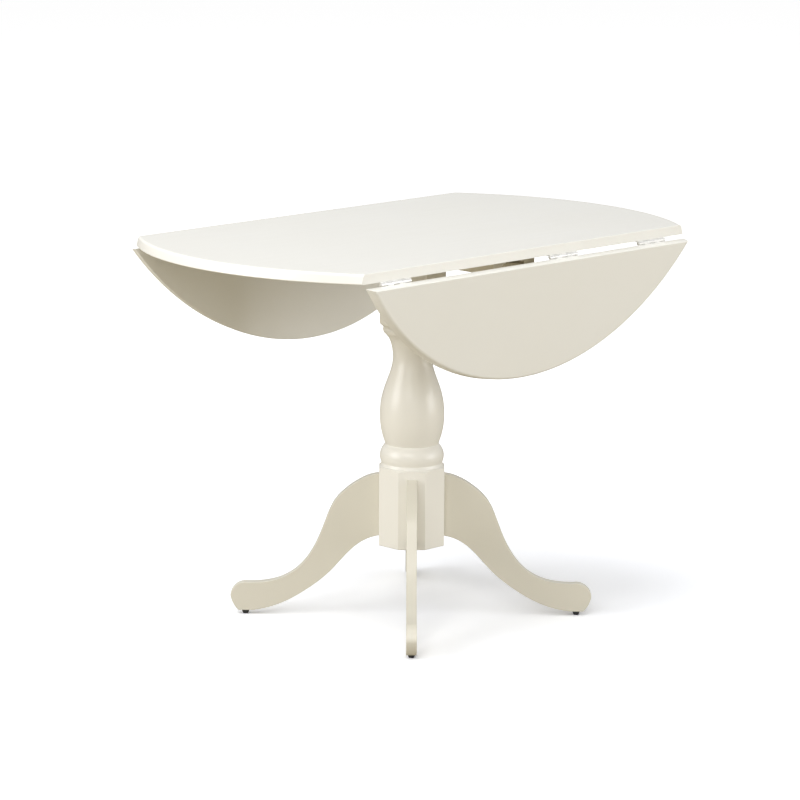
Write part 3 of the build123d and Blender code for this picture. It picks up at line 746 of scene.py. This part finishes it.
def make_world():
    """White surroundings, a little brighter near the floor. The camera itself sees plain white."""
    world = bpy.data.worlds.new("studio")
    bpy.context.scene.world = world
    world.use_nodes = True
    tree = world.node_tree
    tree.nodes.clear()
    path = tree.nodes.new("ShaderNodeLightPath")
    seen = tree.nodes.new("ShaderNodeBackground")
    seen.inputs["Strength"].default_value = 1.0
    seen.inputs["Color"].default_value = (*WHITE, 1.0)
    lighting = tree.nodes.new("ShaderNodeBackground")
    lighting.inputs["Color"].default_value = (*WHITE, 1.0)
    coordinates = tree.nodes.new("ShaderNodeTexCoord")
    parts = tree.nodes.new("ShaderNodeSeparateXYZ")
    falling = tree.nodes.new("ShaderNodeMapRange")
    falling.inputs["From Min"].default_value = 0.0
    falling.inputs["From Max"].default_value = ZENITH_START
    falling.inputs["To Min"].default_value = HORIZON_STRENGTH
    falling.inputs["To Max"].default_value = ZENITH_STRENGTH
    tree.links.new(coordinates.outputs["Generated"], parts.inputs["Vector"])
    tree.links.new(parts.outputs["Z"], falling.inputs["Value"])
    tree.links.new(falling.outputs["Result"], lighting.inputs["Strength"])
    either = tree.nodes.new("ShaderNodeMixShader")
    output = tree.nodes.new("ShaderNodeOutputWorld")
    tree.links.new(path.outputs["Is Camera Ray"], either.inputs["Fac"])
    tree.links.new(lighting.outputs["Background"], either.inputs[1])
    tree.links.new(seen.outputs["Background"], either.inputs[2])
    tree.links.new(either.outputs["Shader"], output.inputs["Surface"])


def direction(azimuth, elevation):
    """Unit vector from the object towards a place at that azimuth and elevation, in degrees."""
    around, up = radians(azimuth), radians(elevation)
    return Vector((sin(around) * cos(up), -cos(around) * cos(up), sin(up)))


def area_light(name, azimuth, elevation, distance, size, power):
    """Square soft light that looks at the middle of the table, placed from the camera's azimuth."""
    data = bpy.data.lights.new(name, "AREA")
    data.size = size
    data.energy = power
    light = bpy.data.objects.new(name, data)
    bpy.context.collection.objects.link(light)
    back = direction(CAMERA_AZIMUTH + azimuth, elevation)
    light.location = CAMERA_AIM + back * distance
    light.rotation_mode = "QUATERNION"
    light.rotation_quaternion = (-back).to_track_quat("-Z", "Y")


def make_camera():
    """Camera at the photograph's viewing angle."""
    data = bpy.data.cameras.new("camera")
    data.lens = CAMERA_LENS
    data.sensor_width = CAMERA_SENSOR_WIDTH
    data.shift_x, data.shift_y = CAMERA_SHIFT
    data.clip_end = CAMERA_CLIP_END
    camera = bpy.data.objects.new("camera", data)
    bpy.context.collection.objects.link(camera)
    back = direction(CAMERA_AZIMUTH, CAMERA_ELEVATION)
    camera.location = CAMERA_AIM + back * CAMERA_DISTANCE
    upright = (-back).to_track_quat("-Z", "Y")
    roll = Quaternion((0.0, 0.0, 1.0), radians(CAMERA_ROLL))
    camera.rotation_mode = "XYZ"
    camera.rotation_euler = (upright @ roll).to_euler("XYZ")
    bpy.context.scene.camera = camera


make_floor()
make_world()
for light_name, setting in LIGHTS.items():
    area_light(light_name, *setting)
make_camera()
bpy.context.scene.view_settings.view_transform = "Standard"
